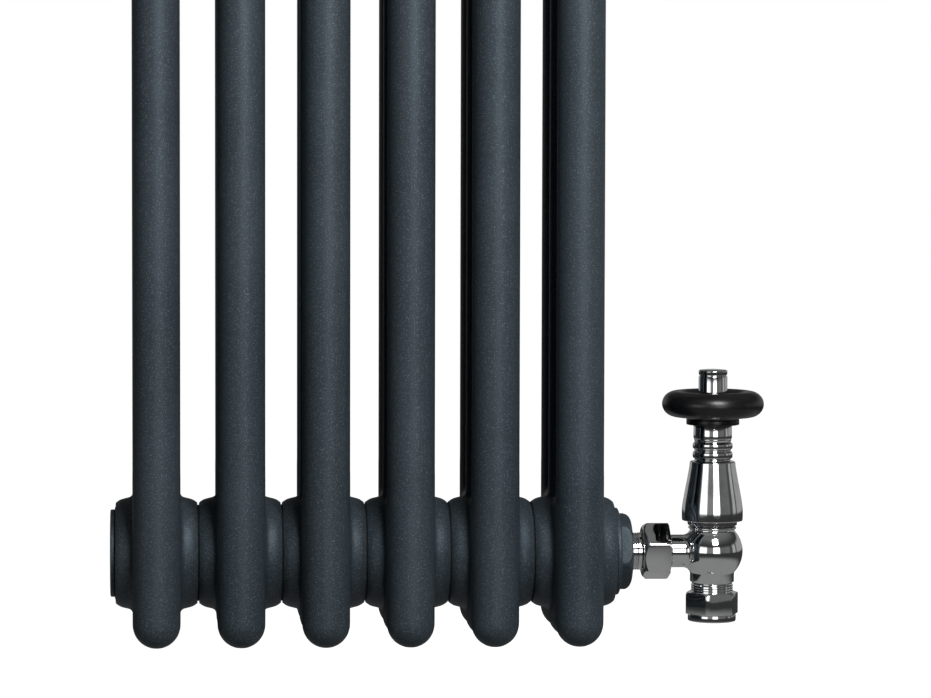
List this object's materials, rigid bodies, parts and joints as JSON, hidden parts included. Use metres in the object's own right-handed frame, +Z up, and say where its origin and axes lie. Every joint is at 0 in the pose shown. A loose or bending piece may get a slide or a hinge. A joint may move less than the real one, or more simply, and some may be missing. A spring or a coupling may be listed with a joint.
{
  "type": "column radiator with valve",
  "caption": "Wall-hung tubular column radiator with welded round-ended sections and an angled handwheel valve on its lower tapping.",
  "frame": {"origin": "on the wall plane, midway between the two wall brackets, at the height of the upper hub centres", "axes": "+X along the radiator towards the valve, +Y into the wall, +Z up"},
  "size_m": [0.357, 0.1409, 0.6],
  "materials": {
    "paint": "satin anthracite blue-grey powder coat with a fine speckle",
    "chrome": "polished chrome plate",
    "black": "satin to semi-gloss black lacquer",
    "brass": "plain machined brass",
    "steel": "zinc-plated steel",
    "rubber": "plain black sealing rubber",
    "fibre": "dark pressed fibre gasket"
  },
  "bodies": {
    "radiator": {"section_1": "paint", "section_2": "paint", "section_3": "paint", "section_4": "paint", "section_5": "paint", "section_6": "paint", "valve_bush": "paint", "plug_lower_left": "paint", "plug_upper_right": "paint", "vent_bush": "paint", "wall_bracket_left": "paint", "wall_bracket_right": "paint", "gasket_upper_1": "fibre", "gasket_upper_2": "fibre", "gasket_upper_3": "fibre", "gasket_upper_4": "fibre", "gasket_upper_5": "fibre", "gasket_lower_1": "fibre", "gasket_lower_2": "fibre", "gasket_lower_3": "fibre", "gasket_lower_4": "fibre", "gasket_lower_5": "fibre", "valve_bush_gasket": "fibre", "plug_lower_left_gasket": "fibre", "plug_upper_right_gasket": "fibre", "vent_bush_gasket": "fibre", "nipple_upper_1": "steel", "nipple_upper_2": "steel", "nipple_upper_3": "steel", "nipple_upper_4": "steel", "nipple_upper_5": "steel", "nipple_lower_1": "steel", "nipple_lower_2": "steel", "nipple_lower_3": "steel", "nipple_lower_4": "steel", "nipple_lower_5": "steel", "valve_body": "chrome", "union_tailpiece": "chrome", "union_nut": "chrome", "compression_nut": "chrome", "bell_shroud": "chrome", "beaded_neck": "chrome", "bleed_valve_body": "chrome", "compression_olive": "brass", "headwork": "brass", "gland_nut": "brass", "union_seal": "rubber", "stem_seal": "rubber"},
    "wheel": {"handwheel": "black", "wheel_ferrule": "chrome", "wheel_washer": "chrome", "wheel_cap": "chrome", "wheel_screw": "steel", "valve_stem": "brass"},
    "disc": {"valve_disc": "brass", "disc_washer": "rubber"},
    "bleed_screw": {"bleed_screw": "brass"}
  },
  "joints": [
    {"name": "wheel_turn", "type": "hinge", "parent": "radiator", "child": "wheel", "pos_m": [0.189, -0.09, -0.507], "axis": [0, 0, 1], "range_deg": [0, 540]},
    {"name": "disc_lift", "type": "slide", "parent": "radiator", "child": "disc", "axis": [0, 0, 1], "range_m": [0, 0.003]},
    {"name": "bleed_screw_turn", "type": "hinge", "parent": "radiator", "child": "bleed_screw", "pos_m": [-0.135, -0.09, 0], "axis": [-1, 0, 0], "range_deg": [0, 360]}
  ],
  "couplings": [
    {"joint": "disc_lift", "follows": "wheel_turn", "m_per_rad": 0.0003183}
  ]
}
